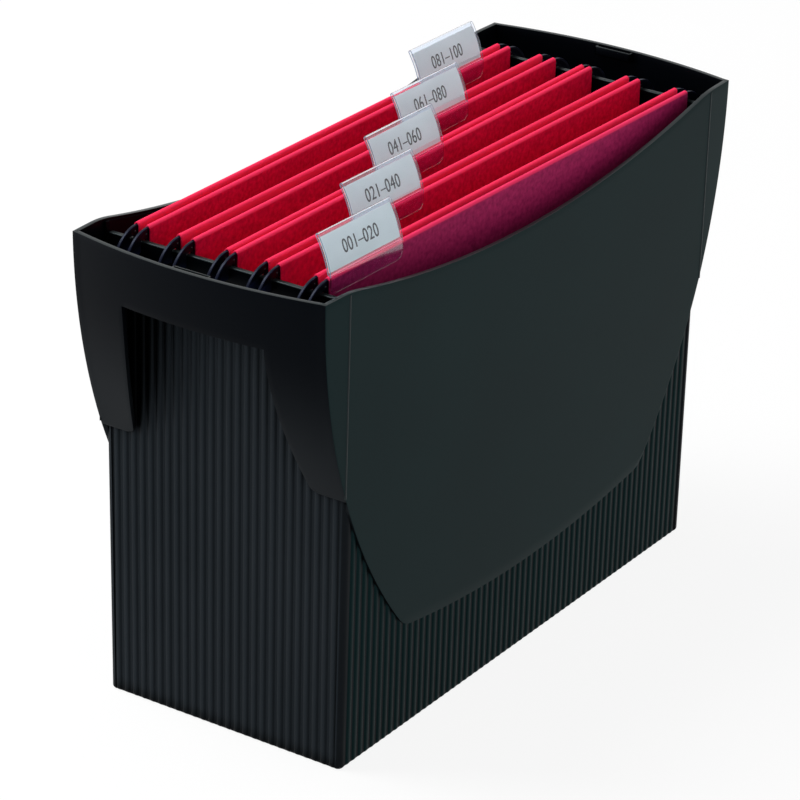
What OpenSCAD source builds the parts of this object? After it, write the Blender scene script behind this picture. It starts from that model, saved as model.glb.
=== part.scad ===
// Portable file box: an open plastic tub with ribbed walls, smooth side shields and a curved grip
// band at each end, holding hanging files. Each file is a folded card on two hanger bars, with a
// clear index tab and a paper insert. Millimetres, X along the box, Z up, origin under its middle.

/* [Box] */
// Overall length, over the bowed grip bands
box_l = 390; // [380:1:420]
// Overall width at the rim
box_w = 150; // [146:1:180]
// Height of the rim above the floor
box_h = 260; // [258:1:275]
// Width over the ribs at the floor
base_w = 143.2; // [138:0.2:145]
// Length of the tub over its ribbed end walls
tub_l = 329; // [327:0.5:333]
// Wall thickness of the tub
wall_t = 2.2; // [1.8:0.1:2.6]
// Thickness of the floor
floor_t = 2.6; // [2:0.1:5]
// Radius of the tub's upright corners
corner_r = 4; // [3:0.5:7]
// Depth of the long dip in the side rims
dip_d = 19; // [8:1:24]
// Half length of that dip
dip_x = 165; // [130:1:170]

/* [Ribs] */
// Pitch of the upright ribs
rib_p = 5.5; // [4.5:0.1:8]
// Height of a rib above the groove beside it
rib_h = 0.8; // [0.4:0.1:1.1]
// Half width of a rib at its foot, as a share of the pitch
rib_foot = 0.38; // [0.3:0.01:0.48]
// Half width of a rib's flat crest, as a share of the pitch
rib_crest = 0.16; // [0.1:0.01:0.25]

/* [Shields] */
// How far the smooth side shield stands out from the rib crests
shield_out = 1.2; // [0.8:0.1:2]
// Radius of the shield's curved side edges
shield_r = 307; // [290:1:330]
// Height of the shield's lower corners
shield_z = 60; // [50:1:90]
// Height of the shield's lower edge at its middle
shield_low = 50.5; // [30:0.5:56]

/* [Grips] */
// How far each grip band bows out from its corners
bow = 8.5; // [5:0.5:12]
// Thickness of the grip skin
skin_t = 2.4; // [2:0.1:3]
// Height at which the grip's legs meet the tub
grip_z = 150; // [140:1:165]
// How far the legs' feet stand out from the tub
foot_out = 1.6; // [1.2:0.1:2.4]
// Height of the grip band, from the rim down to the hand opening
band_h = 29.5; // [24:0.5:36]
// Half width of the hand opening at its top
hand_top = 42; // [38:0.5:46]
// Half width of the hand opening at its foot
hand_low = 54; // [50:0.5:58]
// Radius of the rounded inner corner at each leg's foot
foot_r = 5; // [2:0.5:8]
// Width of the lid catch pocket inside each band
catch_w = 22; // [16:1:50]
// Height of that pocket
catch_h = 5.5; // [5:0.5:10]
// Space in the pocket, between the band and the lip
catch_gap = 2.4; // [1.6:0.1:4]
// Thickness of the pocket's lip
lip_t = 1; // [0.8:0.1:2]
// Depth of the lip's top edge below the rim
lip_drop = 0.5; // [0.3:0.1:2.5]

/* [Rails] */
// Depth of the rails' top below the rim
rail_drop = 6.5; // [6:0.1:9]
// Thickness of the rail at the top of each end wall
rail_t = 3.2; // [2.6:0.1:3.6]
// Height of the rail bead
rail_h = 8; // [5:0.5:12]

/* [Files] */
// Length of a file's card
card_l = 318; // [300:1:320]
// Thickness of the card
card_t = 0.6; // [0.4:0.1:0.8]
// Height of the card's folded bottom edge above the floor
card_low = 22; // [15:1:60]
// Height of the card's hemmed top edge above the rails
card_over = 6.5; // [5.5:0.1:8]
// Space between the base's edge and the nearest file's even place
file_edge = 17.1; // [17:0.1:24]
// How far each file hangs from its even place along the rails, from the back
file_shift = [-2.2, -2.35, -0.9, -0.35, -2.1]; // [-2.5:0.05:2.5]
// Distance between each file's two bars
file_gap = [6.7, 8.6, 4.9, 7.1, 6.3]; // [4.8:0.1:9]
// How far each file is turned off square, in degrees
file_turn = [-0.4, -0.7, -0.3, -1.2, -1.4]; // [-1.5:0.1:1.5]
// Depth of the hem folded over each bar
hem_h = 13; // [12:0.5:18]
// Height of the V in which the two leaves meet at the bottom
vee_h = 14; // [8:1:30]

/* [Hangers] */
// Thickness of a hanger bar
bar_t = 1.8; // [1.4:0.1:2]
// Height of a hanger bar
bar_h = 9.4; // [8:0.2:10.5]
// Reach of the hook's outer tip from the middle of the box
hook_x = 177.5; // [175:0.5:179]
// Length of the hook's tip below the rail's top
tip_h = 6; // [4:0.5:8]
// Clearance of the hook on and round the rail
hook_gap = 0.4; // [0.38:0.01:0.6]
// Radius of the small hole in each hook plate
eye_r = 0.9; // [0.5:0.1:1.1]
// Distance of that hole's middle from the card's end
eye_x = 1.8; // [1.7:0.1:3]
// Distance of that hole's middle below the bar's top edge
eye_z = 3.2; // [2:0.1:4]

/* [Tabs] */
// Width of an index tab
tab_w = 58; // [40:1:62]
// Thickness of the tab's clear sheet
tab_t = 0.6; // [0.4:0.1:0.8]
// Length of the tab along its curve, above the hem
tab_h = 22.2; // [20:0.1:26]
// Radius of the tab's backward curve
tab_r = 55; // [40:1:80]
// Lean of the tab at its foot, in degrees
tab_lean = 10; // [5:1:15]
// Height of the tab's flange on the front of the hem
flange_h = 8.5; // [6:0.5:12]
// Width of the paper insert
paper_w = 56; // [36:1:60]
// Height of the paper insert, along its curve
paper_h = 18; // [12:0.5:21]
// Thickness of the paper insert
paper_t = 0.3; // [0.2:0.05:0.4]
// Width of the slot that the insert slides in
slot_t = 0.9; // [0.9:0.1:1.4]
// Step from one file's tab to the next
tab_p = 58; // [40:0.1:59]
// Place of the middle file's tab along its bar
tab_mid = -14; // [-14:0.5:14]

/* [Hidden] */
$fn = 96;
files = len(file_shift);
fit_gap = 0.3;
weld = 0.3;
over = 2;
far = 400;

// Box lines that several pieces share
rim_x = box_l / 2 - bow;
rim_y = box_w / 2;
lean = atan((rim_y - shield_out - base_w / 2) / box_h);
plate_t = skin_t;
pocket_in = 2;
shield_cx = rim_x - shield_r;
shield_tip = shield_cx + sqrt(pow(shield_r, 2) - pow(box_h - shield_z, 2));
low_sag = shield_z - shield_low;
low_r = (pow(shield_tip, 2) + pow(low_sag, 2)) / (2 * low_sag);
dip_r = (pow(dip_x, 2) + pow(dip_d, 2)) / (2 * dip_d);

// Where the files hang
rail_mid = tub_l / 2 - rail_t / 2;
rail_z = box_h - rail_drop;
card_top = rail_z + card_over;
file_half = base_w / 2 - file_edge;
file_p = 2 * file_half / (files - 1);
file_y = [for (i = [0 : files - 1]) file_half - i * file_p + file_shift[i]];
bar_top = card_top - card_t - fit_gap;
bar_low = bar_top - bar_h;
hem_t = bar_t + 2 * fit_gap + 2 * card_t;
slot_w = rail_t + 2 * hook_gap;

// Outline of the ribs along one wall, as points of a crest and its two flanks, kept inside half
function rib_points(half, n) = [
  for (i = [0 : n - 1])
    let (c = (i - (n - 1) / 2) * rib_p)
      for (s = [[-rib_foot, -rib_h], [-rib_crest, 0], [rib_crest, 0], [rib_foot, -rib_h]])
        [c + s[0] * rib_p, s[1]]
];

// Quarter circle of points about a corner
function arc_points(c, r, a0, a1, n) = [
  for (i = [0 : n])
    let (a = a0 + (a1 - a0) * i / n)
      [c[0] + r * cos(a), c[1] + r * sin(a)]
];

side_half = tub_l / 2 - corner_r;
side_ribs = floor(2 * side_half / rib_p);
end_half = base_w / 2 - corner_r;
end_t = wall_t + 0.2;
end_ribs = floor(2 * end_half / rib_p);

// Plan of one long wall with its two corners, its outer crest line at y = 0
module side_plan() {
  corner = [side_half, -corner_r];
  right = arc_points(corner, corner_r, 90, 0, 6);
  right_in = arc_points(corner, corner_r - wall_t, 0, 90, 6);
  outer = concat(rib_points(side_half, side_ribs), right);
  ends = concat(outer, right_in);
  left_in = [for (p = arc_points(corner, corner_r - wall_t, 90, 0, 6)) [-p[0], p[1]]];
  left = [for (p = arc_points(corner, corner_r, 0, 90, 6)) [-p[0], p[1]]];
  polygon(concat(ends, left_in, left));
}

// Outline of a smooth side shield, seen from the front and drawn in by the given inset
module shield_outline(inset = 0) {
  intersection() {
    translate([shield_cx, box_h]) circle(r = shield_r - inset);
    translate([-shield_cx, box_h]) circle(r = shield_r - inset);
    translate([0, shield_low + low_r]) circle(r = low_r - inset);
    translate([-far / 2, 0]) square([far, box_h + over]);
  }
}

// One long side, its base line at the origin and its outer face towards +Y. Behind the shield the
// ribbed wall is thinned to the shield's own sheet.
module side_wall() {
  difference() {
    translate([0, 0, -over]) linear_extrude(box_h + 2 * over) side_plan();
    translate([0, shield_out - plate_t, 0])
      rotate([90, 0, 0])
        linear_extrude(wall_t)
          intersection() {
            shield_outline(pocket_in);
            translate([-side_half + 1, 0]) square([2 * side_half - 2, box_h + over]);
          }
  }
  translate([0, shield_out, 0])
    rotate([90, 0, 0])
      linear_extrude(plate_t) shield_outline();
}

// Puts a long side in its place and tilts it outwards, on the back or, mirrored, on the front
module on_side(front = false) {
  mirror([0, front ? 1 : 0, 0])
    translate([0, base_w / 2, 0])
      rotate([-lean, 0, 0]) children();
}

// One ribbed end wall with the rail along its top, its outer crests at x = 0
module end_wall() {
  low_y = end_half + weld;
  high_y = low_y + box_h * tan(lean);
  intersection() {
    union() {
      linear_extrude(rail_z)
        rotate(-90)
          polygon(concat(
            rib_points(end_half, end_ribs),
            [[rim_y, -rib_h], [rim_y, -end_t], [-rim_y, -end_t], [-rim_y, -rib_h]]
          ));
      translate([-rail_t, -rim_y, rail_z - rail_h])
        cube([rail_t - rib_h, 2 * rim_y, rail_h]);
    }
    rotate([90, 0, 90])
      translate([0, 0, -rail_t - 1])
        linear_extrude(rail_t + 2)
          polygon([[-low_y, 0], [low_y, 0], [high_y, box_h], [-high_y, box_h]]);
  }
}

// Everything below the rim, with the dips of the two side rims taken away
module under_rim() {
  difference() {
    translate([-far / 2, -far / 2, 0]) cube([far, far, box_h]);
    translate([0, far / 2, box_h - dip_d + dip_r])
      rotate([90, 0, 0])
        cylinder(h = far, r = dip_r);
  }
}

module box_body() {
  color([0.10, 0.12, 0.12])
    intersection() {
      union() {
        on_side() side_wall();
        on_side(true) side_wall();
        translate([tub_l / 2, 0, 0]) end_wall();
        mirror([1, 0, 0]) translate([tub_l / 2, 0, 0]) end_wall();
        translate([-tub_l / 2 + wall_t / 2, -base_w / 2 + wall_t / 2, 0])
          cube([tub_l - wall_t, base_w - wall_t, floor_t]);
      }
      under_rim();
    }
}

// Outer face of a grip at height z and at the distance y from its middle, set in by off. Each
// upright slice is an arc from the foot, where the bow has died out, to the rim.
skin_half = rim_y + shield_out;
function skin_x(y, z, off) =
  let (
    foot = tub_l / 2 + foot_out - off,
    top = rim_x + bow * max(0, 1 - pow(y / (rim_y - plate_t), 2)) - off,
    run = top - foot,
    drop = box_h - grip_z,
    r = (run * run + drop * drop) / (2 * run)
  )
  top - r + sqrt(max(0, r * r - pow(box_h - z, 2)));

skin_cols = 20;
skin_rows = 16;
skin_n = (skin_cols + 1) * (skin_rows + 1);

function skin_grid(off) = [
  for (j = [0 : skin_rows])
    for (i = [0 : skin_cols])
      let (
        y = skin_half * (2 * i / skin_cols - 1),
        z = grip_z + (box_h - grip_z) * j / skin_rows
      )
      [skin_x(y, z, off), y, z]
];

// Triangles of one face of the skin, from point number k on, turned over if flip
function skin_face(k, flip) = [
  for (j = [0 : skin_rows - 1])
    for (i = [0 : skin_cols - 1])
      let (
        a = k + j * (skin_cols + 1) + i,
        b = a + 1,
        c = a + skin_cols + 1,
        d = c + 1
      )
      for (f = flip ? [[a, b, d], [a, d, c]] : [[a, d, b], [a, c, d]]) f
];

// Strips that close the skin's foot, rim and two sides
function skin_strip(p, q) = [
  for (i = [0 : len(p) - 2])
    for (f = [[p[i], p[i + 1], q[i + 1]], [p[i], q[i + 1], q[i]]]) f
];

function row_of(k, j) = [for (i = [0 : skin_cols]) k + j * (skin_cols + 1) + i];
function col_of(k, i) = [for (j = [0 : skin_rows]) k + j * (skin_cols + 1) + i];

module skin_shell() {
  polyhedron(
    points = concat(skin_grid(0), skin_grid(skin_t)),
    faces = concat(
      skin_face(0, false),
      skin_face(skin_n, true),
      skin_strip(row_of(0, 0), row_of(skin_n, 0)),
      skin_strip(row_of(skin_n, skin_rows), row_of(0, skin_rows)),
      skin_strip(col_of(skin_n, 0), col_of(0, 0)),
      skin_strip(col_of(0, skin_cols), col_of(skin_n, skin_cols))
    ),
    convexity = 6
  );
}

// Outline of the hand opening, across the end and up from the floor
hand_z = box_h - band_h;
function hand_half(z) = hand_top + (hand_low - hand_top) * pow((hand_z - z) / (hand_z - grip_z), 1.6);

module hand_opening() {
  round_z = grip_z + foot_r;
  foot = [
    for (a = [0 : 15 : 75])
      [hand_half(round_z) + foot_r * (1 - sin(a)), round_z - foot_r * cos(a)]
  ];
  leg = [for (i = [0 : 8]) let (z = round_z + (hand_z - round_z) * i / 8) [hand_half(z), z]];
  side = concat([[foot[0][0], grip_z - 1]], foot, leg);
  other = [for (i = [len(side) - 1 : -1 : 0]) [-side[i][0], side[i][1]]];
  rotate([90, 0, 90])
    linear_extrude(far) polygon(concat(side, other));
}

// The space between the inner faces of the two side shields
module between_shields() {
  low = base_w / 2 + (shield_out - plate_t) / cos(lean);
  high = low + box_h * tan(lean);
  translate([tub_l / 2, 0, 0])
    rotate([90, 0, 90])
      linear_extrude(far) polygon([[-low, 0], [low, 0], [high, box_h], [-high, box_h]]);
}

// Thin lip behind the band's rim, closed below, which a lid's catch drops into. It runs into the
// band up to the middle of the skin.
module lid_catch() {
  x = box_l / 2 - skin_t;
  z = box_h - catch_h;
  difference() {
    translate([x - catch_gap - lip_t, -catch_w / 2, z])
      cube([catch_gap + lip_t + skin_t / 2, catch_w, catch_h - lip_drop]);
    translate([x - catch_gap, -catch_w / 2 + lip_t, z + lip_t])
      cube([far, catch_w - 2 * lip_t, catch_h]);
  }
}

module grip() {
  difference() {
    union() {
      intersection() {
        skin_shell();
        between_shields();
      }
      lid_catch();
    }
    hand_opening();
  }
}

module left_grip() {
  color([0.10, 0.12, 0.12]) mirror([1, 0, 0]) grip();
}

module right_grip() {
  color([0.10, 0.12, 0.12]) grip();
}

// Section of one leaf across the file, with the bar's middle at the origin, the fold's middle at
// fold_y and the other leaf beyond it. The sheet hangs on the outer side, goes over the bar, and its
// hem lies on the inner side.
vee_z = card_low + vee_h;
bead_r = card_t;
fold_z = card_low + bead_r;

module leaf_section(fold_y) {
  out = hem_t / 2;
  polygon([
    [-out, vee_z],
    [-out, card_top],
    [out, card_top],
    [out, card_top - hem_h],
    [out - card_t, card_top - hem_h],
    [out - card_t, card_top - card_t],
    [card_t - out, card_top - card_t],
    [card_t - out, vee_z],
    [fold_y, fold_z + card_t / 2],
    [fold_y - card_t, fold_z - card_t / 2]
  ]);
}

// Runs a section along the file and puts it where file i hangs. The section's origin is at the
// middle between the two bars.
module along_file(i, length) {
  translate([0, file_y[i], 0])
    rotate([0, 0, file_turn[i]])
      rotate([90, 0, 90])
        translate([0, 0, -length / 2])
          linear_extrude(length) children();
}

// Back leaf, with the bead of card at the fold that the front leaf opens about
module back_leaf(i) {
  half = file_gap[i] / 2;
  color([0.80, 0.02, 0.14])
    along_file(i, card_l)
      union() {
        translate([half, 0]) mirror([1, 0]) leaf_section(half);
        translate([0, fold_z]) circle(r = bead_r);
      }
}

// Front leaf, ending just clear of that bead
module front_leaf(i) {
  half = file_gap[i] / 2;
  color([0.80, 0.02, 0.14])
    along_file(i, card_l)
      difference() {
        translate([-half, 0]) leaf_section(half);
        translate([0, fold_z]) circle(r = bead_r + fit_gap / 2);
      }
}

// Face of a hanger bar: the long bar in the hem, the curved claw and the slot over the rail
module hanger_face() {
  claw_r = hook_x - card_l / 2;
  for (s = [0, 1])
    mirror([s, 0])
      difference() {
        union() {
          translate([0, bar_low]) square([card_l / 2 + weld, bar_h]);
          intersection() {
            translate([card_l / 2, bar_top - claw_r]) circle(r = claw_r);
            translate([card_l / 2, rail_z - tip_h]) square([claw_r, bar_top - rail_z + tip_h]);
          }
        }
        translate([rail_mid - slot_w / 2, 0]) square([slot_w, rail_z + hook_gap]);
        translate([card_l / 2 + eye_x, bar_top - eye_z]) circle(r = eye_r);
      }
}

module hanger(i, side) {
  color([0.05, 0.05, 0.06])
    translate([0, file_y[i], 0])
      rotate([0, 0, file_turn[i]])
        translate([0, side * file_gap[i] / 2 + bar_t / 2, 0])
          rotate([90, 0, 0]) linear_extrude(bar_t) hanger_face();
}

module back_hanger(i) {
  hanger(i, 1);
}

module front_hanger(i) {
  hanger(i, -1);
}

// The tab starts on the hem's front face and curves back over the file
tab_thick = 2 * tab_t + slot_t;
tab_base = card_top - flange_h;
tab_foot = card_top + fit_gap + tab_thick * sin(tab_lean);
tab_front = -hem_t / 2 - fit_gap - tab_t;

// A band of the tab's curve, from depth d0 to d1 and from arc length s0 to s1
module tab_band(d0, d1, s0, s1) {
  a0 = 180 - tab_lean - s0 / tab_r * 180 / PI;
  a1 = 180 - tab_lean - s1 / tab_r * 180 / PI;
  translate([tab_front + tab_r * cos(tab_lean), tab_foot - tab_r * sin(tab_lean)])
    intersection() {
      difference() {
        circle(r = tab_r - d0);
        circle(r = tab_r - d1);
      }
      polygon(concat([[0, 0]], arc_points([0, 0], 2 * tab_r, a0, a1, 4)));
    }
}

// Section of the tab: a flange on the hem, then a front and a back sheet joined at foot and top
module tab_section() {
  join = 0.8;
  tab_band(0, tab_t, 0, tab_h);
  tab_band(tab_t + slot_t, tab_thick, 0, tab_h);
  tab_band(tab_t / 2, tab_thick - tab_t / 2, 0, join);
  tab_band(tab_t / 2, tab_thick - tab_t / 2, tab_h - join, tab_h);
  translate([tab_front, tab_base])
    square([tab_t, tab_foot + tab_t / 2 - tab_base]);
}

// Runs a section of the given width at the tab of file i
module at_tab(i, width) {
  translate([0, file_y[i], 0])
    rotate([0, 0, file_turn[i]])
      translate([tab_mid + (2 - i) * tab_p - width / 2, -file_gap[i] / 2, 0])
        rotate([90, 0, 90])
          linear_extrude(width) children();
}

module tab(i) {
  color([0.85, 0.90, 0.92, 0.4]) at_tab(i, tab_w) tab_section();
}

module label(i) {
  depth = tab_t + (slot_t - paper_t) / 2;
  start = (tab_h - paper_h) / 2;
  color([0.90, 0.93, 0.92])
    at_tab(i, paper_w) tab_band(depth, depth + paper_t, start, start + paper_h);
}

box_body();
left_grip();
right_grip();
for (i = [0 : files - 1]) {
  back_leaf(i);
  front_leaf(i);
  back_hanger(i);
  front_hanger(i);
  tab(i);
  label(i);
}
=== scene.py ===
import math

import bmesh
import bpy
from mathutils import Matrix, Vector


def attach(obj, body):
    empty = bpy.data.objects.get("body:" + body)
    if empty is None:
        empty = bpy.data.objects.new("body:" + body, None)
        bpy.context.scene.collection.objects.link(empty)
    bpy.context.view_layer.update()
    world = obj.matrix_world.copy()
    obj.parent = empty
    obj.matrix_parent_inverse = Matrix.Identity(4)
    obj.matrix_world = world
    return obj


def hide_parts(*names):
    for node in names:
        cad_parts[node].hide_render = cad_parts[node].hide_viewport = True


# portable file box: ribbed tub in smooth shields, two grips, five hanging files with clear index tabs
# sizes in the dictionaries are millimetres, meshes are made in metres

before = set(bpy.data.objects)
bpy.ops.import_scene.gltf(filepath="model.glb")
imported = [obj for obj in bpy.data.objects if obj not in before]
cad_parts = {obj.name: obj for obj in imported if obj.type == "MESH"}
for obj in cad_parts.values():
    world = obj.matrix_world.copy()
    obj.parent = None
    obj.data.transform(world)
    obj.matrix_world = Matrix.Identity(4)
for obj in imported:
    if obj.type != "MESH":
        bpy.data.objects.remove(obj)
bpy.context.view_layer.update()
mm = 0.001


# the camera, solved from the corners of the 800 x 800 photograph

cameraSet = {
    "azimuth": -56.378,
    "elevation": 25.142,
    "roll": -1.352,
    "lens": 178.65,
    "sensor": 36.0,
    "location": (-1564.16, -1032.97, 1000.58),
    "clip": (0.05, 60.0),    # metres
}


def putObject(name, data):
    piece = bpy.data.objects.new(name, data)
    bpy.context.scene.collection.objects.link(piece)
    return piece


def makeCamera(c):
    data = bpy.data.cameras.new("photoCamera")
    data.lens = c["lens"]
    data.sensor_width = c["sensor"]
    data.clip_start, data.clip_end = c["clip"]
    camera = putObject("photoCamera", data)
    a, e = math.radians(c["azimuth"]), math.radians(c["elevation"])
    back = Vector((math.sin(a) * math.cos(e), -math.cos(a) * math.cos(e), math.sin(e)))
    right = Vector((math.cos(a), math.sin(a), 0))
    up = back.cross(right)
    turn = Matrix((right, up, back)).transposed().to_4x4()
    roll = Matrix.Rotation(math.radians(-c["roll"]), 4, "Z")
    camera.matrix_world = Matrix.Translation(Vector(c["location"]) * mm) @ turn @ roll
    bpy.context.scene.camera = camera


# node helpers, for shaders and for the rib rows

def feed(tree, socket, value):
    # a link if the value is a socket, a plain value otherwise
    if isinstance(value, bpy.types.NodeSocket):
        tree.links.new(value, socket)
    else:
        socket.default_value = (*value, 1) if socket.type == "RGBA" else value


def addNode(tree, kind, place=(0, 0), **values):
    # each value goes to the socket of its name, or else to the node's own setting
    node = tree.nodes.new(kind)
    node.location = place
    for key, value in values.items():
        if key in node.inputs:
            feed(tree, node.inputs[key], value)
        else:
            setattr(node, key, value)
    return node


def calc(tree, operation, a, b=0.0):
    node = addNode(tree, "ShaderNodeMath", operation=operation)
    feed(tree, node.inputs[0], a)
    feed(tree, node.inputs[1], b)
    return node.outputs[0]


def mapRange(tree, place, value, start=(0.0, 1.0), end=(0.0, 1.0), **values):
    # takes a value from one span to another
    node = addNode(tree, "ShaderNodeMapRange", place, Value=value, **values)
    for key, limit in zip(("From Min", "From Max", "To Min", "To Max"), (*start, *end)):
        feed(tree, node.inputs[key], limit)
    return node.outputs["Result"]


def mixColour(tree, place, share, first, second):
    node = addNode(tree, "ShaderNodeMix", place, data_type="RGBA")
    for key, value in ((0, share), (6, first), (7, second)):
        feed(tree, node.inputs[key], value)
    return node.outputs[2]


def heightOf(tree, place, where):
    return addNode(tree, "ShaderNodeSeparateXYZ", place, Vector=where).outputs["Z"]


def startGroup(name, kind, inputs, outputs):
    # a node group with its sockets, each given as a name, a type and perhaps a default
    group = bpy.data.node_groups.new(name, kind)
    for way, sockets in (("INPUT", inputs), ("OUTPUT", outputs)):
        for label, sort, *default in sockets:
            socket = group.interface.new_socket(label, in_out=way, socket_type="NodeSocket" + sort)
            if default:
                socket.default_value = default[0]
    start = addNode(group, "NodeGroupInput", (-600, 0))
    end = addNode(group, "NodeGroupOutput", (600, 0))
    return group, start.outputs, end.inputs


# shader parts that several finishes share

def addNoise(tree, place, where, scale, detail, roughness):
    noise = addNode(tree, "ShaderNodeTexNoise", place, Vector=where, Scale=scale, Detail=detail, Roughness=roughness)
    return noise.outputs["Fac"]


def grainGroup():
    # two sizes of noise: a height for Bump and a soft mask that wanders over the surface
    g, start, end = startGroup(
        "mouldedGrain", "ShaderNodeTree",
        (("Vector", "Vector"), ("Grain scale", "Float", 900.0), ("Patch scale", "Float", 12.0),
         ("Grain share", "Float", 0.7)),
        (("Height", "Float"), ("Patches", "Float")))
    fine = addNoise(g, (-300, 150), start["Vector"], start["Grain scale"], 3.0, 0.6)
    broad = addNoise(g, (-300, -150), start["Vector"], start["Patch scale"], 2.0, 0.5)
    mix = addNode(g, "ShaderNodeMix", (0, 100), data_type="FLOAT")
    for key, value in ((0, start["Grain share"]), (2, broad), (3, fine)):
        feed(g, mix.inputs[key], value)
    feed(g, end["Height"], mix.outputs[0])
    feed(g, end["Patches"], mapRange(g, (0, -150), broad, (0.3, 0.7)))
    return g


grain = grainGroup()


def edgeHighlightGroup():
    # a mask of the convex edges, broken up a little by noise, for a painted highlight
    g, start, end = startGroup(
        "rubbedEdge", "ShaderNodeTree",
        (("Vector", "Vector"), ("Starts at", "Float", 0.51), ("Full at", "Float", 0.58),
         ("Noise scale", "Float", 300.0)),
        (("Edge", "Float"),))
    shape = addNode(g, "ShaderNodeNewGeometry", (-400, 200)).outputs["Pointiness"]
    convexShare = mapRange(g, (-100, 200), shape, (start["Starts at"], start["Full at"]))
    noise = addNoise(g, (-300, -150), start["Vector"], start["Noise scale"], 2.0, 0.5)
    patchy = mapRange(g, (0, -150), noise, (0.25, 0.60), (0.55, 1.0))
    feed(g, end["Edge"], calc(g, "MULTIPLY", convexShare, patchy))
    return g


edgeHighlight = edgeHighlightGroup()


def startMaterial(name):
    material = bpy.data.materials.new(name)
    material.use_nodes = True
    tree = material.node_tree
    tree.nodes.clear()
    shader = addNode(tree, "ShaderNodeBsdfPrincipled", (400, 0))
    addNode(tree, "ShaderNodeOutputMaterial", (700, 0), Surface=shader.outputs[0])
    return material, tree, shader


def grainedMaterial(name, m):
    # a surface whose colour wanders between two tones, with a fine bump from the shared grain; some finishes add
    # painted highlight and painted shade
    material, tree, shader = startMaterial(name)
    where = addNode(tree, "ShaderNodeTexCoord", (-900, 0)).outputs["Object"]
    g = addNode(tree, "ShaderNodeGroup", (-400, 0), node_tree=grain, Vector=where,
                **{"Grain scale": m["grain"], "Patch scale": m["patch"], "Grain share": m["share"]}).outputs
    colour = mixColour(tree, (-100, 200), g["Patches"], m["dark"], m["light"])
    if "edge" in m:
        # painted highlight: a lighter tone along the convex edges
        edge = addNode(tree, "ShaderNodeGroup", (-400, 350), node_tree=edgeHighlight, Vector=where,
                       **{"Starts at": m["edgeFrom"], "Full at": m["edgeTo"]})
        colour = mixColour(tree, (120, 250), edge.outputs["Edge"], colour, m["edge"])
    if "high" in m:
        # painted light by height: a darker tone higher up on the box (painted shade), a lighter tone on the cards'
        # folds over their bars (painted highlight)
        rise = mapRange(tree, (-150, 500), heightOf(tree, (-400, 500), where),
                        (m["highFrom"] * mm, m["highTo"] * mm), interpolation_type="SMOOTHSTEP")
        colour = mixColour(tree, (120, 450), rise, colour, m["high"])
    if "shadeReach" in m:
        # painted shade: an occlusion mask darkens the colour in recesses, both the deep ones and the valleys between
        # the ribs
        reach = m["shadeReach"] * mm
        if "shadeReachLow" in m:
            # a short reach low down keeps the floor out of the painted shade
            reach = mapRange(tree, (-550, 800), heightOf(tree, (-700, 900), where),
                             (m["lowFrom"] * mm, m["lowTo"] * mm), (m["shadeReachLow"] * mm, reach))
        hollow = addNode(tree, "ShaderNodeAmbientOcclusion", (-400, 800), samples=8, Distance=reach)
        shade = mapRange(tree, (-150, 800), hollow.outputs["AO"], (m["shadeFrom"], m["shadeTo"]))
        colour = mixColour(tree, (250, 650), shade, paintedShadeTone, colour)
    bump = addNode(tree, "ShaderNodeBump", (100, -250), Height=g["Height"], Strength=m["bump"],
                   Distance=m["depth"] * mm)
    for key, value in {
        "Base Color": colour,
        "Roughness": mapRange(tree, (-100, -60), g["Height"], end=m["rough"]),
        "Normal": bump.outputs["Normal"],
        "Metallic": m.get("metal", 0.0),
        "Specular IOR Level": m["gloss"],
        "Specular Tint": m.get("sheen", (1, 1, 1)),
    }.items():
        feed(tree, shader.inputs[key], value)
    return material


# colour of the painted shade in recesses
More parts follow.
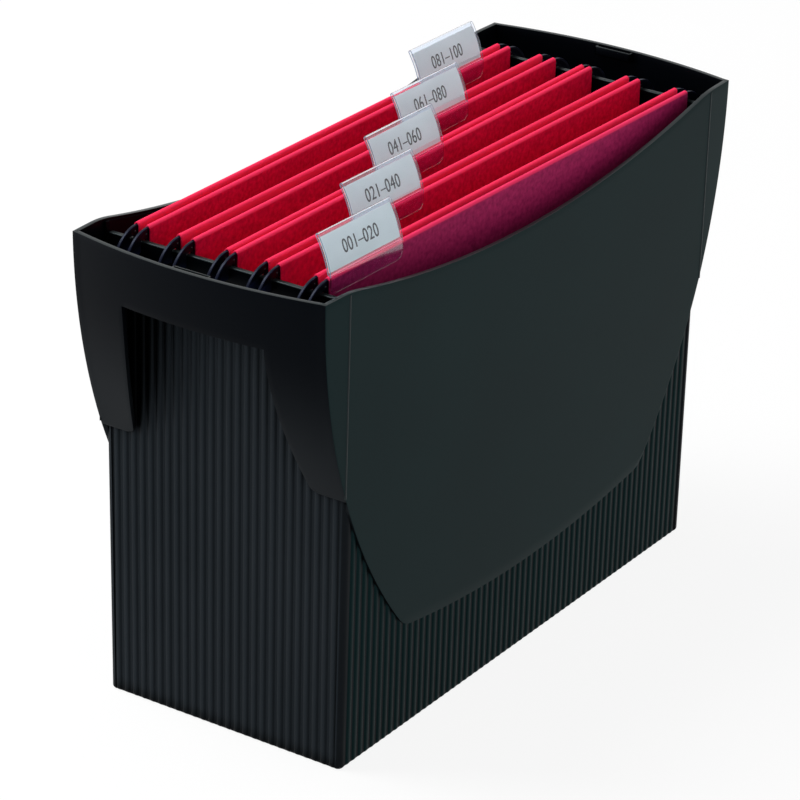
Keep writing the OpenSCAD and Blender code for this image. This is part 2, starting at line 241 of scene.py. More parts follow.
paintedShadeTone = (0.0004, 0.0005, 0.0006)
mouldedLook = {
    "grain": 1500.0, "patch": 9.0, "share": 0.75, "rough": (0.34, 0.44), "bump": 0.15, "depth": 0.08,
    "sheen": (0.72, 0.86, 1.0),
}
cardLook = {
    # painted highlight: the cards' folds are lighter on top
    "highFrom": 258.3, "highTo": 259.3,
    "grain": 700.0, "patch": 420.0, "share": 0.55, "rough": (0.55, 0.70), "bump": 0.35, "depth": 0.10, "gloss": 0.06,
}
finishes = {
    "boxPlastic": mouldedLook | {
        "dark": (0.0050, 0.0064, 0.0078), "light": (0.0066, 0.0082, 0.0098),
        # painted shade: the box darkens higher up
        "high": (0.0006, 0.0010, 0.0020), "highFrom": 165.0, "highTo": 232.0,
        # painted shade in the recesses of the box
        "shadeReach": 28.0, "shadeFrom": 0.20, "shadeTo": 0.75, "gloss": 0.040,
    },
    # painted light: a lighter, greener copy of the plastic for the long sides, where the front light and its sheen
    # fall
    "shieldPlastic": mouldedLook | {
        "dark": (0.0018, 0.0105, 0.0115), "light": (0.0028, 0.0140, 0.0150),
        "gloss": 0.042, "sheen": (0.60, 0.93, 1.0),
    },
    # painted light: a lighter copy of the plastic for the outside of the end walls
    "ribPlastic": mouldedLook | {
        "dark": (0.0095, 0.0126, 0.0155), "light": (0.0125, 0.0160, 0.0195),
        # painted shade in the hand openings and between the end ribs
        "shadeReach": 42.0, "shadeReachLow": 9.0, "lowFrom": 110.0, "lowTo": 190.0,
        "shadeFrom": 0.58, "shadeTo": 1.0, "gloss": 0.042,
    },
    # painted highlight: a lighter, glossier copy of the plastic for faces that look up and for the crease beads
    "rimPlastic": mouldedLook | {
        "dark": (0.0080, 0.0110, 0.0120), "light": (0.0120, 0.0160, 0.0170),
        "patch": 40.0, "rough": (0.26, 0.36), "bump": 0.10, "depth": 0.05, "gloss": 0.15, "sheen": (0.75, 0.95, 1.0),
    },
    "hangerPlastic": {
        "dark": (0.0014, 0.0016, 0.0034), "light": (0.0022, 0.0026, 0.0060),
        # painted highlight: a bluish tone along the claws' convex edges
        "edge": (0.020, 0.028, 0.090), "edgeFrom": 0.53, "edgeTo": 0.62,
        "grain": 900.0, "patch": 40.0, "share": 0.6,
        "rough": (0.26, 0.36), "bump": 0.10, "depth": 0.06, "gloss": 0.10, "sheen": (0.60, 0.72, 1.0),
    },
    "cardFront": cardLook | {
        "dark": (0.48, 0.003, 0.040), "light": (0.72, 0.006, 0.066), "high": (0.98, 0.035, 0.120),
    },
    "cardBack": cardLook | {
        "dark": (0.54, 0.003, 0.040), "light": (0.78, 0.006, 0.066),
        # the back leaves' painted highlight reaches further down
        "high": (0.98, 0.030, 0.105), "highFrom": 253.0, "highTo": 258.0,
    },
    # painted shade: a darker, duller copy of the card for the outermost front leaf
    "cardOuter": cardLook | {
        "dark": (0.27, 0.009, 0.074), "light": (0.44, 0.020, 0.118), "high": (0.90, 0.035, 0.130),
        "rough": (0.50, 0.65),
    },
    "labelPaper": {
        "dark": (0.78, 0.86, 0.84), "light": (0.84, 0.91, 0.89),
        "grain": 1200.0, "patch": 50.0, "share": 0.6,
        "rough": (0.70, 0.85), "bump": 0.15, "depth": 0.04, "gloss": 0.3,
    },
    "rivetMetal": {
        "dark": (0.030, 0.032, 0.036), "light": (0.045, 0.048, 0.052), "metal": 1.0,
        "grain": 2500.0, "patch": 300.0, "share": 0.5,
        "rough": (0.22, 0.34), "bump": 0.08, "depth": 0.03, "gloss": 0.5,
    },
    "printInk": {
        "dark": (0.004, 0.005, 0.012), "light": (0.007, 0.008, 0.018),
        "grain": 2500.0, "patch": 400.0, "share": 0.5,
        "rough": (0.5, 0.7), "bump": 0.05, "depth": 0.02, "gloss": 0.3,
    },
    "cutEdge": {
        "dark": (0.17, 0.24, 0.36), "light": (0.24, 0.31, 0.45),
        "grain": 1500.0, "patch": 80.0, "share": 0.6,
        "rough": (0.30, 0.45), "bump": 0.10, "depth": 0.03, "gloss": 0.5,
    },
}
clearSheet = {"tone": (0.90, 0.94, 1.0), "refraction": 1.46, "rough": (0.02, 0.07), "grain": 600.0, "patch": 30.0}


def clearMaterial(m):
    # clear plastic sheet: glassy, faintly blue, with a trace of haze where the grain wanders
    material, tree, shader = startMaterial("clearSheet")
    where = addNode(tree, "ShaderNodeTexCoord", (-700, 0)).outputs["Object"]
    g = addNode(tree, "ShaderNodeGroup", (-400, 0), node_tree=grain, Vector=where,
                **{"Grain scale": m["grain"], "Patch scale": m["patch"]})
    for key, value in {
        "Roughness": mapRange(tree, (-100, -60), g.outputs["Patches"], end=m["rough"]),
        "Base Color": m["tone"],
        "Transmission Weight": 1.0,
        "IOR": m["refraction"],
    }.items():
        feed(tree, shader.inputs[key], value)
    return material


materials = {name: grainedMaterial(name, m) for name, m in finishes.items()}
materials["clearSheet"] = clearMaterial(clearSheet)
print("materials made")


# mesh helpers

def makeObject(name, points, faces, finish, smooth=35.0, weld=0.0):
    # weld is the distance at which points are merged; 0 leaves them and the faces' sides as they are
    mesh = bpy.data.meshes.new(name)
    mesh.from_pydata([tuple(v * mm for v in p) for p in points], [], faces)
    mesh.validate()
    mesh.update()
    if weld:
        weldAndTurnOut(mesh, weld)
    mesh.materials.append(materials[finish])
    smoothFaces(mesh, smooth)
    return putObject(name, mesh)


def smoothFaces(mesh, angle):
    mesh.shade_smooth()
    mesh.set_sharp_from_angle(angle=math.radians(angle))


def weldAndTurnOut(mesh, distance):
    work = bmesh.new()
    work.from_mesh(mesh)
    bmesh.ops.remove_doubles(work, verts=work.verts, dist=distance * mm)
    bmesh.ops.recalc_face_normals(work, faces=work.faces)
    work.to_mesh(mesh)
    work.free()


def applyModifiers(piece):
    evaluated = piece.evaluated_get(bpy.context.evaluated_depsgraph_get())
    mesh = bpy.data.meshes.new_from_object(evaluated)
    piece.modifiers.clear()
    old = piece.data
    piece.data = mesh
    bpy.data.meshes.remove(old)
    mesh.name = piece.name


def addBevel(piece, width, segments=3, angle=40.0):
    bevel = piece.modifiers.new("edges", "BEVEL")
    bevel.width = width * mm
    bevel.segments = segments
    bevel.limit_method = "ANGLE"
    bevel.angle_limit = math.radians(angle)
    bevel.use_clamp_overlap = True
    bevel.harden_normals = False


def addWall(piece, thickness):
    wall = piece.modifiers.new("wall", "SOLIDIFY")
    wall.thickness = thickness * mm
    wall.offset = -1
    wall.use_even_offset = True
    wall.use_quality_normals = True


def gridFaces(rows, cols, first=0, close=False):
    faces = []
    for r in range(rows - 1):
        for c in range(cols if close else cols - 1):
            a = first + r * cols + c
            b = first + r * cols + (c + 1) % cols
            faces.append((a, b, b + cols, a + cols))
    return faces


def tubeFaces(rows, cols, first=0):
    # rings of points joined up, with a cap at each end
    last = first + (rows - 1) * cols
    caps = [tuple(reversed(range(first, first + cols))), tuple(range(last, last + cols))]
    return gridFaces(rows, cols, first, True) + caps


def fractions(count):
    return [i / count for i in range(count + 1)]


def spread(low, high, count):
    return [low + (high - low) * f for f in fractions(count)]


def roundOff(radius, at):
    # how far a rounded end has drawn in, at a distance from its very end
    return radius - math.sqrt(max(0.0, radius * radius - max(0.0, radius - at) ** 2))


def joinPieces(name, pieces):
    # the first piece takes the meshes of the others
    target, *others = pieces
    work = bmesh.new()
    work.from_mesh(target.data)
    for other in others:
        work.from_mesh(other.data)
        mesh = other.data
        bpy.data.objects.remove(other)
        bpy.data.meshes.remove(mesh)
    work.to_mesh(target.data)
    work.free()
    target.name = name
    return target


def paintFaces(mesh, finish, test):
    # the faces that pass a test get another finish: the cut edges of the tabs, or a lighter copy of the plastic that
    # is painted light
    mesh.materials.append(materials[finish])
    for face in mesh.polygons:
        if test(face):
            face.material_index = len(mesh.materials) - 1


def topsOver(level):
    # a test for the faces that look up and are over a level
    return lambda face: face.normal.z > 0.3 and face.center.z > level * mm


def finishPiece(piece, body, nodes=()):
    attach(piece, body)
    if nodes:
        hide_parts(*nodes)


# the box: one moulding

boxSize = {
    "length": 390.0, "width": 150.0, "height": 260.0,
    "baseWidth": 143.2,      # over the ribs at the floor
    "tubLength": 329.0,      # over the ribs of the end walls
    "wall": 2.2, "floor": 2.6, "floorRound": 1.5,
    "cornerRadius": 3.2,
    "footRound": 1.2,        # rounding of the bottom edge
    "ribPitch": 5.31, "ribHeight": 0.70, "ribFoot": 0.50, "ribCrest": 0.12,
    "ribsOnSide": 60, "ribsOnEnd": 26, "ribFootRound": 2.0,
    "ribSunk": 0.25,         # how deep a rib's valley line lies inside the wall
    "ribTop": 200.0,         # on the long sides, where the shields hide it
    "ribHidden": 4.0,        # how far the ribs run on behind a shield's edge
    "endSkin": 1.8,          # faces this near the end walls' crests are outside ones
    "postSide": 4.6,         # from a corner to the rib valley beside it, along the long side
    "postEnd": 3.4,          # and along the end wall
    "railHeight": 253.5, "railThick": 3.2, "railDeep": 8.0,
}
shieldSize = {
    "standOut": 1.2, "thick": 2.4,
    "sideRadius": 307.0,     # of the curved side edges
    "tipHeight": 60.0,       # of the lower corners
    "lowEdge": 50.5,         # of the lower edge at its middle
    "dipDepth": 19.0, "dipHalf": 165.0, "dipSoft": 1.8,
    "tipRound": 4.0,
    "creaseAt": 167.0, "creaseTilt": 0.030, "creaseSoft": 0.5, "beadWide": 1.5, "beadHigh": 0.35,
    "edgeRound": 0.55,
}
gripSize = {
    "bow": 8.5,
    "footHeight": 150.0, "footOut": 1.6,
    "bandDeep": 29.5,        # from the rim to the hand opening
    "openTop": 42.0, "openFoot": 54.0, "openPower": 1.6, "footRound": 5.0,
    "catchWide": 22.0, "catchDeep": 5.5, "catchGap": 2.4, "catchLip": 0.9, "catchDrop": 0.5,
    "catchSunk": 0.6,        # how deep the pocket's walls run into the band
}

height = boxSize["height"]
rimX = boxSize["length"] / 2 - gripSize["bow"]
rimY = boxSize["width"] / 2
halfBase = boxSize["baseWidth"] / 2
halfTub = boxSize["tubLength"] / 2
leanTan = (rimY - shieldSize["standOut"] - halfBase) / height
leanCos = math.cos(math.atan(leanTan))
shieldMid = rimX - shieldSize["sideRadius"]
dipRadius = (shieldSize["dipHalf"] ** 2 + shieldSize["dipDepth"] ** 2) / (2 * shieldSize["dipDepth"])


def shieldHalf(z):
    # half length of a shield at height z, which is also the corner line that a grip starts from
    z = max(z, shieldSize["tipHeight"])
    return shieldMid + math.sqrt(shieldSize["sideRadius"] ** 2 - (height - z) ** 2)


shieldTip = shieldHalf(0)
lowSag = shieldSize["tipHeight"] - shieldSize["lowEdge"]
lowRadius = (shieldTip ** 2 + lowSag ** 2) / (2 * lowSag)


def softLower(a, b, soft):
    h = min(1.0, max(0.0, 0.5 + 0.5 * (b - a) / soft))
    return b + (a - b) * h - soft * h * (1 - h)


def rimHeight(x):
    x = min(abs(x), dipRadius * 0.9)
    dip = height - shieldSize["dipDepth"] + dipRadius - math.sqrt(dipRadius ** 2 - x ** 2)
    return min(height, softLower(height, dip, shieldSize["dipSoft"]))


def shieldLow(x):
    low = shieldSize["lowEdge"] + lowRadius - math.sqrt(lowRadius ** 2 - min(abs(x), shieldTip) ** 2)
    return low + roundOff(shieldSize["tipRound"], shieldTip - abs(x))


def shieldY(x, z):
    # outer face of the shield: it leans out, and its wings turn in a little past the crease
    past = (abs(x) - shieldSize["creaseAt"]) / shieldSize["creaseSoft"]
    fold = shieldSize["creaseSoft"] * (math.log1p(math.exp(past)) if past < 30 else past)
    return halfBase + shieldSize["standOut"] / leanCos + z * leanTan - shieldSize["creaseTilt"] * fold


def gripX(y, z):
    # outer face of a grip: each upright slice is an arc that runs out into the tub at the foot
    foot = halfTub + gripSize["footOut"]
    top = rimX + gripSize["bow"] * max(0.0, 1 - (y / (rimY - 2.4)) ** 2)
    run, drop = top - foot, height - gripSize["footHeight"]
    r = (run * run + drop * drop) / (2 * run)
    return top - r + math.sqrt(max(0.0, r * r - (height - z) ** 2))


handTop = height - gripSize["bandDeep"]


def openHalf(z):
    # half width of the hand opening, with its rounded lower corners
    low, r = gripSize["footHeight"], gripSize["footRound"]
    at = min(handTop, max(z, low + r))
    share = ((handTop - at) / (handTop - low)) ** gripSize["openPower"]
    half = gripSize["openTop"] + (gripSize["openFoot"] - gripSize["openTop"]) * share
    return half + roundOff(r, z - low)


def shieldPatch(levels, side):
    # one long side as a grid, its rows following the lower edge and the rim
    points = []
    cols = [math.copysign(1 - (1 - abs(u)) ** 1.25, u) for u in spread(-1, 1, 110)]
    edgeLow = shieldLow(shieldTip)
    for z in levels:
        share = (z - edgeLow) / (height - edgeLow)
        for u in cols:
            low, top = shieldLow(u * shieldTip), rimHeight(u * rimX)
            at = low + (top - low) * share
            x = u * shieldHalf(at)
            if share == 1.0:
                at = rimHeight(x)
            points.append((x, side * shieldY(x, at), at))
    return points, gridFaces(len(levels), len(cols))


def gripPatch(levels, end, part):
    # part 0 is the band over the opening, parts -1 and 1 the two legs
    points = []
    for z in levels:
        edge = shieldY(shieldHalf(z), z)
        half = openHalf(z)
        if part:
            row = [part * y for y in spread(half, edge, 10)]
        else:
            inner, outer = spread(0, half, 16), spread(half, edge, 10)[1:]
            row = [-y for y in reversed(inner[1:] + outer)] + inner + outer
        for y in row:
            x = shieldHalf(z) if abs(y) > edge - 0.001 else gripX(y, z)
            points.append((end * x, y, z))
    return points, gridFaces(len(levels), len(row))


def makeShell():
    # the shields and grips as one skin, given its wall and its rounded edges
    low, foot = shieldLow(shieldTip), gripSize["footHeight"]
    legFoot = foot + gripSize["footRound"]
    legLevels = spread(foot, legFoot, 5) + spread(legFoot, handTop, 20)[1:]
    bandLevels = spread(handTop, height, 8)
    allLevels = spread(low, foot, 14) + legLevels[1:] + bandLevels[1:]
    points, faces = [], []

    def take(patch, flip):
        start = len(points)
        points.extend(patch[0])
        faces.extend(tuple(start + i for i in (reversed(f) if flip else f)) for f in patch[1])

    for side in (-1, 1):
        take(shieldPatch(allLevels, side), side > 0)
    for end in (-1, 1):
        take(gripPatch(bandLevels, end, 0), end < 0)
        for part in (-1, 1):
            take(gripPatch(legLevels, end, part), (end < 0) != (part < 0))
    shell = makeObject("boxShell", points, faces, "boxPlastic", 30, 0.02)
    addWall(shell, shieldSize["thick"])
    addBevel(shell, shieldSize["edgeRound"], 3, 50)
    applyModifiers(shell)

    def isShield(face):
        out = face.normal.y * math.copysign(1, face.center.y)
        return face.material_index == 0 and out > 0.7 and abs(face.center.y) > halfBase * mm

    # faces that look up near the rim get the lighter copy: painted highlight
    paintFaces(shell.data, "rimPlastic", topsOver(height - shieldSize["dipDepth"] - 1))
    # the shields' outer faces get that copy: painted light
    paintFaces(shell.data, "shieldPlastic", isShield)
    smoothFaces(shell.data, 30)
    return shell


def makeCreases():
    # a fine upright bead along each crease of the shields
    points, faces = [], []
    levels = spread(gripSize["footHeight"] + 2, rimHeight(shieldSize["creaseAt"]) - 1, 24)
    half = shieldSize["beadWide"] / 2
    section = [(-1, -0.6), (-1, -0.02), (-0.5, 0.75), (0, 1.0), (0.5, 0.75), (1, -0.02), (1, -0.6)]
    for side in (-1, 1):
        for end in (-1, 1):
            faces += tubeFaces(len(levels), len(section), len(points))
            for z in levels:
                for across, rise in section:
                    x = end * (shieldSize["creaseAt"] + half * across)
                    points.append((x, side * (shieldY(x, z) + shieldSize["beadHigh"] * rise), z))
    # the beads get the lighter copy: a painted highlight line
    return makeObject("creaseBeads", points, faces, "rimPlastic", 50, 0.001)


def tubLoop(offset, topOf, z, post=None):
    # one ring of the tub at a distance inside the rib crests, its corner posts at their own distance
    r = boxSize["cornerRadius"]
    post = offset if post is None else post
    points = []
    for sx, sy in ((1, -1), (1, 1), (-1, 1), (-1, -1)):
        corner = [(halfTub - offset, halfBase - boxSize["postEnd"])]
        for a in range(0, 91, 15):
            s = math.radians(a)
            corner.append((halfTub - r + (r - post) * math.cos(s), halfBase - r + (r - post) * math.sin(s)))
        corner.append((halfTub - boxSize["postSide"] + 0.7, halfBase - post))
        corner.append((halfTub - boxSize["postSide"], halfBase - offset))
        if sx * sy < 0:
            corner = corner[::-1]
        points.extend((sx * x, sy * y) for x, y in corner)
    ring = []
    for i, (x, y) in enumerate(points):
        x2, y2 = points[(i + 1) % len(points)]
        steps = 40 if abs(x2 - x) > 50 else 16 if abs(y2 - y) > 50 else 1
        for k in range(steps):
            ring.append((x + (x2 - x) * k / steps, y + (y2 - y) * k / steps))
    out = []
    for x, y in ring:
        at = topOf(x, y) if topOf else z
        out.append((x, y + math.copysign(at * leanTan, y) * min(1.0, abs(y) / (halfBase - r)), at))
    return out


def tubTop(x, y):
    # the end walls stop at the rails, the long sides a little below the shields' rim
    if abs(y) < halfBase - boxSize["cornerRadius"] + 0.01:
        return boxSize["railHeight"] - 0.6
    return rimHeight(x) - 1.2


def ribPull(z):
    # how far the foot of a rib or corner post draws in at height z
    return roundOff(boxSize["ribFootRound"], z)


def makeTub():
    groove, inner, r = boxSize["ribHeight"], boxSize["wall"], boxSize["footRound"]
    loops = []
    for a in (0, 22.5, 45, 67.5, 90):
        s = math.radians(a)
        z = r - r * math.cos(s)
        loops.append(tubLoop(groove + r - r * math.sin(s), None, z, ribPull(z)))
    for z in (1.6, boxSize["ribFootRound"], 60.0, 120.0, 180.0, 235.0):
        loops.append(tubLoop(groove, None, z, ribPull(z)))
    loops += [tubLoop(groove, tubTop, 0, 0.0), tubLoop(inner, tubTop, 0)]
    loops += [tubLoop(inner, None, z) for z in (235.0, 120.0)]
    floor, r = boxSize["floor"], boxSize["floorRound"]
    for a in (90, 60, 30, 0):
        s = math.radians(a)
        loops.append(tubLoop(inner + r - r * math.sin(s), None, floor + r - r * math.cos(s)))
    points = [p for loop in loops for p in loop]
    tub = makeObject("boxTub", points, tubeFaces(len(loops), len(loops[0])), "boxPlastic", 30, 0.002)
    paintEnds(tub.data, 0.95)
    return tub


def paintEnds(mesh, facing):
    # the outside of the end walls gets a lighter copy of the plastic: painted light, with painted shade in its
    # recesses
    outside = (halfTub - boxSize["endSkin"]) * mm
    paintFaces(mesh, "ribPlastic", lambda face: abs(face.center.x) > outside and abs(face.normal.x) >= facing)


def ribBlank():
    # one rounded rib standing up from z 0, its crest line at y = 0 and its back towards -y
    half = boxSize["ribPitch"] * boxSize["ribFoot"]
    flat = boxSize["ribCrest"] / boxSize["ribFoot"]
    deep = boxSize["ribHeight"] + boxSize["ribSunk"]
    outline = []
    for u in spread(-1, 1, 10):
        rise = 1.0 if abs(u) < flat else 0.5 + 0.5 * math.cos(math.pi * (abs(u) - flat) / (1 - flat))
        outline.append((half * u, deep * (rise - 1)))
    outline = [(-half, -deep - 0.3)] + outline + [(half, -deep - 0.3)]
    levels = (0.0, 0.15, 0.35, 0.6, 0.9, 1.2, 1.6, 2.0, 1000.0)
    points = [(x, y, z) for z in levels for x, y in outline]
    return makeObject("ribBlank", points, tubeFaces(len(levels), len(outline)), "boxPlastic", 60, 0.001)


def ribTree():
    # a row of ribs along x, cut off at a flat top and, on a long side, just behind the shield's edge
    lengths = ("Pitch", "Flat top", "Foot round", "Low edge", "Low radius", "Side middle", "Side top",
               "Side radius", "Hidden")
    tree, put, end = startGroup(
        "ribRow", "GeometryNodeTree",
        (("Geometry", "Geometry"), ("Rib", "Object"), ("Count", "Int"), *((name, "Float") for name in lengths)),
        (("Geometry", "Geometry"),))

    def do(operation, a, b=0.0):
        return calc(tree, operation, a, b)

    def circle(radius, across):
        # how high a circle stands over its middle, at a distance to the side
        square = do("SUBTRACT", do("POWER", radius, 2.0), do("POWER", across, 2.0))
        return do("SQRT", do("MAXIMUM", square, 0.0))

    def vector(**parts):
        return addNode(tree, "ShaderNodeCombineXYZ", **parts).outputs[0]

    start = do("MULTIPLY", do("MULTIPLY", do("SUBTRACT", put["Count"], 1.0), put["Pitch"]), -0.5)
    line = addNode(tree, "GeometryNodeMeshLine", Count=put["Count"], Offset=vector(X=put["Pitch"]),
                   **{"Start Location": vector(X=start)})
    rib = addNode(tree, "GeometryNodeObjectInfo", Object=put["Rib"])
    row = addNode(tree, "GeometryNodeInstanceOnPoints", Points=line.outputs["Mesh"], Instance=rib.outputs["Geometry"])
    real = addNode(tree, "GeometryNodeRealizeInstances", Geometry=row.outputs["Instances"])
    place = addNode(tree, "GeometryNodeInputPosition").outputs[0]
    x, y, z = addNode(tree, "ShaderNodeSeparateXYZ", Vector=place).outputs
    across = do("SUBTRACT", do("ABSOLUTE", x), put["Side middle"])
    sideEdge = do("SUBTRACT", put["Side top"], circle(put["Side radius"], across))
    lowEdge = do("SUBTRACT", do("ADD", put["Low edge"], put["Low radius"]), circle(put["Low radius"], x))
    edge = do("ADD", do("MAXIMUM", sideEdge, lowEdge), put["Hidden"])
    newZ = do("MINIMUM", z, do("MINIMUM", edge, put["Flat top"]))
    under = do("MAXIMUM", do("SUBTRACT", put["Foot round"], z), 0.0)
    newY = do("SUBTRACT", y, do("SUBTRACT", put["Foot round"], circle(put["Foot round"], under)))
    move = addNode(tree, "GeometryNodeSetPosition", Geometry=real.outputs[0], Position=vector(X=x, Y=newY, Z=newZ))
    feed(tree, end["Geometry"], move.outputs[0])
    return tree


def ribRow(tree, values, turn):
    piece = putObject("ribRow", bpy.data.meshes.new("ribRow"))
    modifier = piece.modifiers.new("ribs", "NODES")
    modifier.node_group = tree
    sockets = {s.name: s.identifier for s in tree.interface.items_tree if s.in_out == "INPUT"}
    for key, value in values.items():
        modifier[sockets[key]] = value
    applyModifiers(piece)
    piece.data.transform(turn)
    return piece


def makeRibs():
    tree, blank = ribTree(), ribBlank()
    shared = {"Rib": blank, "Pitch": boxSize["ribPitch"] * mm, "Foot round": boxSize["ribFootRound"] * mm}
    onSide = shared | {
        "Count": boxSize["ribsOnSide"], "Flat top": boxSize["ribTop"] * mm,
        "Low edge": shieldSize["lowEdge"] * mm, "Low radius": lowRadius * mm,
        "Side middle": shieldMid * mm, "Side top": height * mm,
        "Side radius": shieldSize["sideRadius"] * mm, "Hidden": boxSize["ribHidden"] * mm,
    }
    onEnd = shared | {
        "Count": boxSize["ribsOnEnd"], "Flat top": (boxSize["railHeight"] - boxSize["railDeep"]) * mm,
        "Low edge": 1.0, "Low radius": 1.0, "Side middle": 0.0, "Side top": 2.0, "Side radius": 0.5,
        "Hidden": 0.0,
    }
    rows = []
    tilt = Matrix.Rotation(-math.atan(leanTan), 4, "X")
    for side in (-1, 1):
        turn = Matrix.Rotation(math.pi if side < 0 else 0, 4, "Z")
        rows.append(ribRow(tree, onSide, turn @ Matrix.Translation((0, halfBase * mm, 0)) @ tilt))
    for end in (-1, 1):
        turn = Matrix.Rotation(-end * math.pi / 2, 4, "Z")
        rows.append(ribRow(tree, onEnd, turn @ Matrix.Translation((0, halfTub * mm, 0))))
    ribs = joinPieces("wallRibs", rows)
    ribs.data.materials.clear()
    # the ribs on the long sides get the same painted light
    ribs.data.materials.append(materials["shieldPlastic"])
    # the end ribs get the lighter copy: painted light
    paintEnds(ribs.data, 0.0)
    smoothFaces(ribs.data, 50)
    bpy.data.objects.remove(blank)
    return ribs


def boxBlock(low, high, finish, round, segments):
    (x0, y0, z0), (x1, y1, z1) = low, high
    points = [(x, y, z) for z in (z0, z1) for x, y in ((x0, y0), (x1, y0), (x1, y1), (x0, y1))]
    piece = makeObject("block", points, tubeFaces(2, 4), finish)
    addBevel(piece, round, segments, 30)
    applyModifiers(piece)
    return piece


def makeRails():
    # the bead along the top of each end wall that the hooks ride on
    parts = []
    top, deep = boxSize["railHeight"], boxSize["railDeep"]
    half = halfBase - boxSize["cornerRadius"] + 1.5
    for end in (-1, 1):
        x0, x1 = sorted((end * (halfTub - boxSize["railThick"]), end * halfTub))
        parts.append(boxBlock((x0, -half, top - deep), (x1, half, top), "boxPlastic", 0.9, 4))
    rails = joinPieces("rails", parts)
    # the rails' top faces get the lighter copy: painted highlight
    paintFaces(rails.data, "rimPlastic", topsOver(top - deep))
    smoothFaces(rails.data, 30)
    return rails


def makeCatches():
    # a shallow pocket inside each band, which a lid's catch would drop into
    c = gripSize
    wall, half = c["catchLip"], c["catchWide"] / 2
    outer = rimX + c["bow"] - shieldSize["thick"]
    lip, back = outer - c["catchGap"] - wall, outer + c["catchSunk"]
    low, top = height - c["catchDeep"], height - c["catchDrop"]
    walls = (
        (lip, lip + wall, -half, half, top),
        (lip, back, -half, half, low + wall),
        (lip, back, -half, -half + wall, top),
        (lip, back, half - wall, half, top),
    )
    parts = []
    for end in (-1, 1):
        for xa, xb, y0, y1, z1 in walls:
            x0, x1 = sorted((end * xa, end * xb))
            parts.append(boxBlock((x0, y0, low), (x1, y1, z1), "boxPlastic", 0.25, 2))
    catches = joinPieces("catchPockets", parts)
    # the pockets' top faces get the lighter copy: painted highlight
    paintFaces(catches.data, "rimPlastic", topsOver(top - 1))
    smoothFaces(catches.data, 30)
    return catches


finishPiece(makeShell(), "box", ("box_body", "left_grip", "right_grip"))
finishPiece(makeCreases(), "box", ("box_body",))
finishPiece(makeTub(), "box", ("box_body",))
finishPiece(makeRibs(), "box", ("box_body",))
finishPiece(makeRails(), "box", ("box_body",))
finishPiece(makeCatches(), "box", ("left_grip", "right_grip"))
print("box made")


# the files; each list runs from the back of the box to the front

fileSize = {
    "place": [52.3, 24.9, -0.9, -27.6, -56.6],
    "gap": [6.7, 8.6, 4.9, 7.1, 6.3],
    "turn": [-0.4, -0.7, -0.3, -1.2, -1.4],
    "cardLong": 318.0, "cardThick": 0.6, "cardTop": 260.0, "foldHeight": 22.6, "veeDeep": 13.4,
    "hemThick": 3.2, "hemDeep": 13.0,
    "wave": 0.25, "waveLong": 37.0, "waveTall": 90.0, "waveTurn": 1.7,
}
hangerSize = {
    "thick": 1.8, "barTop": 259.1, "barHigh": 9.4, "hookReach": 177.5, "tipDrop": 6.0,
    "slotGap": 0.4, "flangeWide": 1.6, "flangeThick": 1.0, "webThick": 1.2,
    "eyeIn": 1.8, "eyeDown": 3.2,
}
tabSize = {
    "wide": 58.0, "sheet": 0.5, "slot": 1.1, "high": 22.2, "radius": 55.0, "lean": 10.0,
    "flange": 8.5, "flangeRound": 4.0,
    "paperWide": 56.6, "paperHigh": 18.0, "paperThick": 0.2, "paperShift": -0.6,
    "step": 58.0, "middle": -14.0,
    "words": ["081–100", "061–080", "041–060", "021–040", "001–020"],
    "wordHigh": 6.8, "wordNarrow": 0.79, "wordAt": 27.8, "wordUp": 5.6, "wordBold": 0.26, "wordStrip": 0.6,
    "wordRise": (0.02, 0.06),    # of the numbers' back and front faces over the paper
}


def sideName(side):
    return "Back" if side > 0 else "Front"


def placeFile(mesh, i):
    turn = Matrix.Rotation(math.radians(fileSize["turn"][i]), 4, "Z")
    mesh.transform(Matrix.Translation((0, fileSize["place"][i] * mm, 0)) @ turn)


def offsetPath(path, distance):
    # the path moved sideways, mitred at its corners
    out = []
    for i, p in enumerate(path):
        a = path[max(i - 1, 0)]
        b = path[min(i + 1, len(path) - 1)]
        d0 = Vector(p) - Vector(a) if i else Vector(b) - Vector(p)
        d1 = Vector(b) - Vector(p) if i < len(path) - 1 else Vector(p) - Vector(a)
        n0 = Vector((-d0.y, d0.x)).normalized()
        n1 = Vector((-d1.y, d1.x)).normalized()
        n = (n0 + n1).normalized()
        out.append(Vector(p) + n * distance / max(0.5, n.dot(n0)))
    return [(v.x, v.y) for v in out]


def leafPath(out, side):
    # middle line of one card leaf across the file: fold, hanging sheet, round hem and its free edge
    f = fileSize
    r = (f["hemThick"] - f["cardThick"]) / 2
    top = f["cardTop"] - f["cardThick"] / 2 - r
    fold, vee = f["foldHeight"], f["foldHeight"] + f["veeDeep"]
    path = [(side * 0.15, fold)]
    path += [(side * (out + r) * s ** 0.8, fold + f["veeDeep"] * s) for s in (0.15, 0.35, 0.6, 0.8, 0.93)]
    path += [(side * (out + r), z) for z in spread(vee, top, 8)]
    path += [(side * (out + r * math.cos(math.radians(a))), top + r * math.sin(math.radians(a)))
             for a in range(15, 181, 15)]
    path += [(side * (out - r), top - (f["hemDeep"] - 2) * s) for s in (0.5, 1.0)]
    return path


